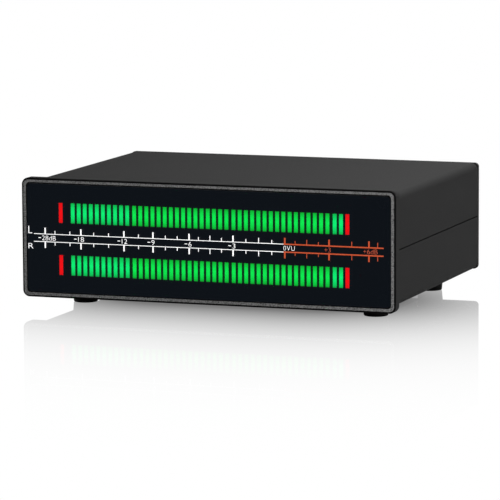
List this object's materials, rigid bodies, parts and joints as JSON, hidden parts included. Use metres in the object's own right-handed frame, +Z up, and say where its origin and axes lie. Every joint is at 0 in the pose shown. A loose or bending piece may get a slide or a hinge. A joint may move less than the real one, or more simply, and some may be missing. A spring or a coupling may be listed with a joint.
{
  "type": "led level meter",
  "caption": "Desktop stereo level meter: two rows of light bars behind a dark window in an extruded metal case on rubber feet, with rear sockets and controls.",
  "frame": {"origin": "centre of the bounding box in X and Y, on the surface that the feet stand on", "axes": "+Z up, +X to the right as seen from the front, the front and its window face -Y"},
  "size_m": [0.172, 0.145, 0.0582],
  "materials": {
    "case_finish": "fine black powder coat, satin",
    "bezel_metal": "bead blasted, black anodised, with a fine sparkle",
    "dark_window": "polished smoke-tinted acrylic, with its scale printed on its front",
    "tape": "black foam tape",
    "green_light": "cast diffusing resin, lit green",
    "red_light": "cast diffusing resin, lit red",
    "unlit_segment": "cast diffusing resin, unlit",
    "board": "green solder resist",
    "moulded_black": "moulded black plastic",
    "knob_black": "satin black plastic",
    "steel": "zinc plated",
    "black_steel": "black oxide",
    "nickel": "nickel plated",
    "chrome": "polished chrome",
    "brass": "turned",
    "gold_plate": "gold plated, polished",
    "white_plastic": "moulded",
    "red_plastic": "moulded",
    "capacitor_sleeve": "shrink sleeve over an aluminium can",
    "rubber": "moulded black rubber"
  },
  "bodies": {
    "case": {"front_bezel": "bezel_metal", "display_window": "dark_window", "window_tape": "tape", "bezel_screws": "steel", "bar_housings": "moulded_black", "green_segments": "green_light", "red_segments": "red_light", "dark_segments": "unlit_segment", "display_board": "board", "display_spacers": "brass", "display_screws": "steel", "driver_chips": "moulded_black", "link_socket": "moulded_black", "link_header": "moulded_black", "link_pins": "gold_plate", "top_shell": "case_finish", "bottom_shell": "case_finish", "main_board": "board", "processor_chip": "moulded_black", "audio_chips": "moulded_black", "regulator": "moulded_black", "inductor": "moulded_black", "crystal": "steel", "capacitors": "capacitor_sleeve", "rear_panel": "case_finish", "rear_screws": "black_steel", "phono_blocks": "moulded_black", "phono_shells": "gold_plate", "white_insulators": "white_plastic", "red_insulators": "red_plastic", "phono_contacts": "gold_plate", "phono_screws": "black_steel", "level_control": "steel", "level_nut": "nickel", "power_switch": "nickel", "power_switch_nut": "nickel", "lever_pin": "steel", "mode_switch": "moulded_black", "power_socket": "moulded_black", "power_socket_pin": "nickel", "feet": "rubber", "foot_screws": "steel", "foot_nuts": "steel"},
    "level_dial": {"level_shaft": "steel", "level_knob": "knob_black"},
    "switch_lever": {"power_lever": "chrome"},
    "mode_key": {"mode_button": "knob_black"}
  },
  "joints": [
    {"name": "level_turn", "type": "hinge", "parent": "case", "child": "level_dial", "pos_m": [-0.01398, 0.0585, 0.0283], "axis": [0, 1, 0], "range_deg": [-150, 150]},
    {"name": "power_throw", "type": "hinge", "parent": "case", "child": "switch_lever", "pos_m": [-0.06996, 0.059, 0.02415], "axis": [1, 0, 0], "range_deg": [-24, 0]},
    {"name": "mode_press", "type": "slide", "parent": "case", "child": "mode_key", "axis": [0, -1, 0], "range_m": [0, 0.0008], "stiffness_N_per_m": 400, "springref_m": -0.001}
  ]
}
